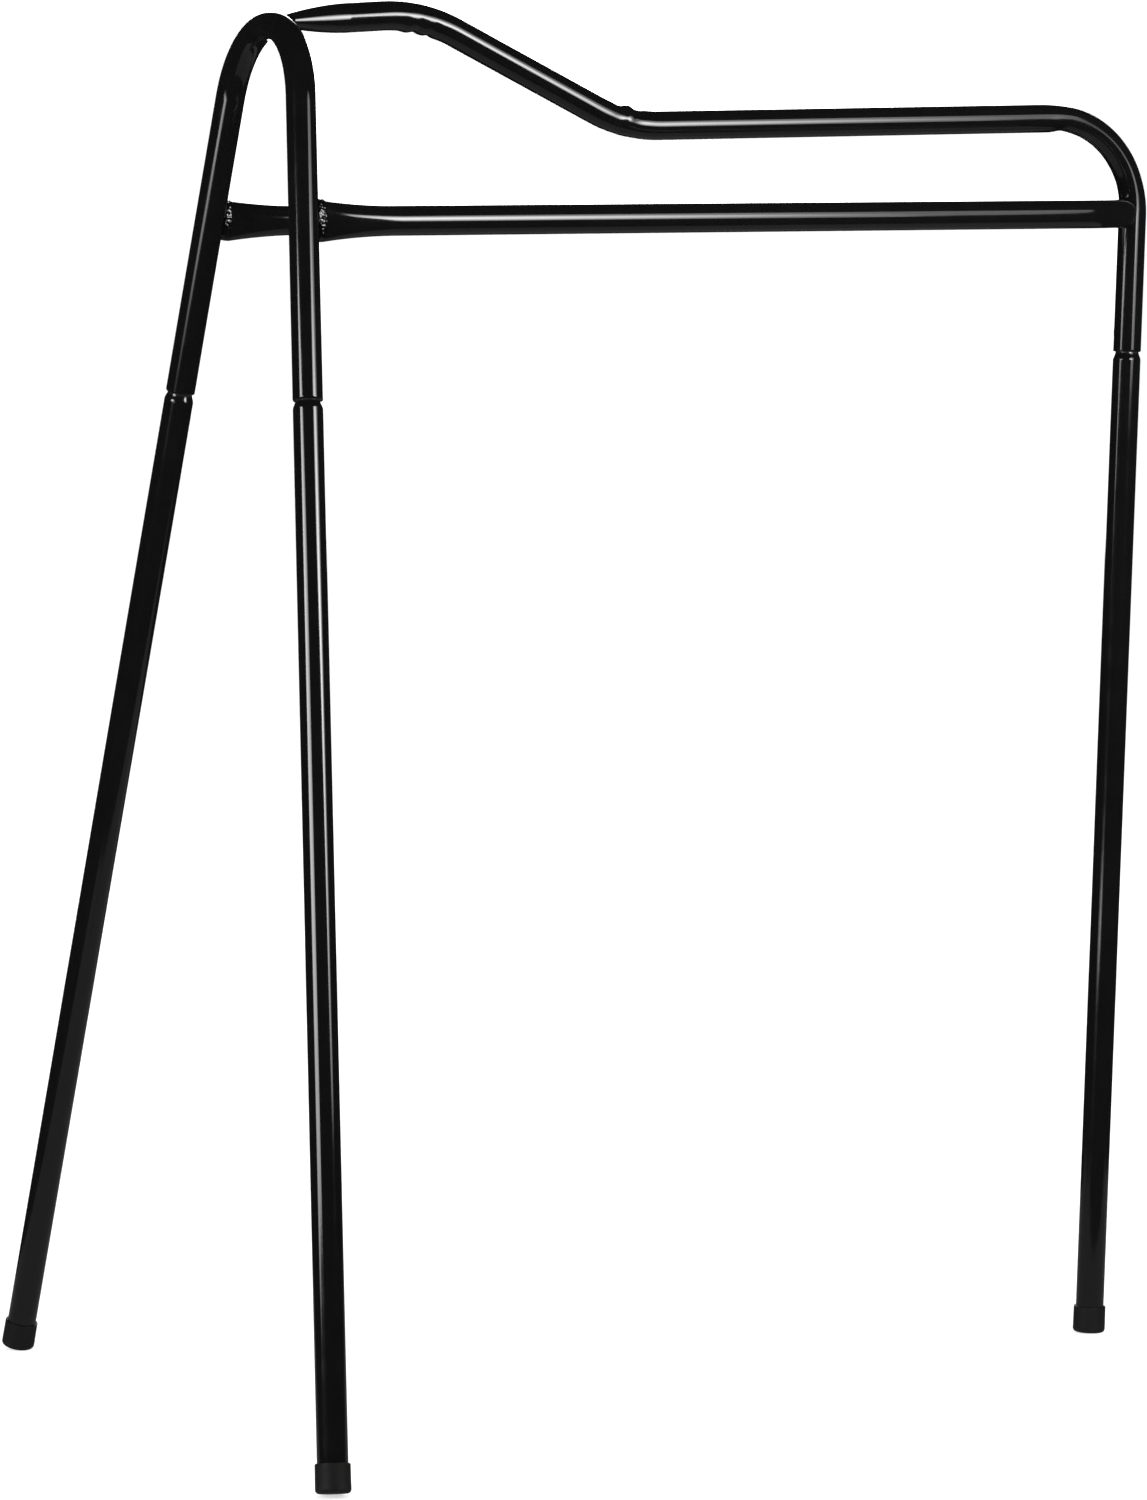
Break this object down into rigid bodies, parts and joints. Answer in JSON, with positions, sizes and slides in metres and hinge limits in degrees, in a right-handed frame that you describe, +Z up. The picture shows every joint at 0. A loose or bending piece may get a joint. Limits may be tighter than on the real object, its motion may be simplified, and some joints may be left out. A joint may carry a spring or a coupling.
{
  "type": "three-legged saddle stand",
  "caption": "Stand of bent steel tube: an inverted-V front hoop, a stepped top rail that turns down as a rear post, a looped side rail, and plug-in legs with rubber caps.",
  "frame": {"origin": "on the floor, under the middle of the stand's bounding box", "axes": "+X from the front hoop to the rear post, +Y to the saddle's right, +Z up"},
  "size_m": [0.7317, 0.5574, 0.9019],
  "materials": {
    "powder_coat": "gloss black powder coat on steel tube",
    "leg_powder_coat": "gloss black powder coat on steel tube",
    "weld_bead": "lumpy weld bead under the same gloss black powder coat",
    "cap_rubber": "dull black rubber"
  },
  "bodies": {
    "frame": {"front_hoop": "powder_coat", "top_rail": "powder_coat", "side_rail": "powder_coat", "hoop_top_weld": "weld_bead", "left_rail_weld": "weld_bead", "right_rail_weld": "weld_bead", "loop_top_weld": "weld_bead", "loop_bottom_weld": "weld_bead"},
    "front_left_leg_body": {"front_left_leg": "leg_powder_coat", "front_left_cap": "cap_rubber"},
    "front_right_leg_body": {"front_right_leg": "leg_powder_coat", "front_right_cap": "cap_rubber"},
    "rear_leg_body": {"rear_leg": "leg_powder_coat", "rear_cap": "cap_rubber"}
  },
  "joints": [
    {"name": "front_left_leg_pull", "type": "slide", "parent": "frame", "child": "front_left_leg_body", "axis": [-0.0862, -0.2436, -0.966], "range_m": [0, 0.046]},
    {"name": "front_right_leg_pull", "type": "slide", "parent": "frame", "child": "front_right_leg_body", "axis": [-0.0862, 0.2436, -0.966], "range_m": [0, 0.046]},
    {"name": "rear_leg_pull", "type": "slide", "parent": "frame", "child": "rear_leg_body", "axis": [-0.0384, 0, -0.9993], "range_m": [0, 0.046]}
  ]
}
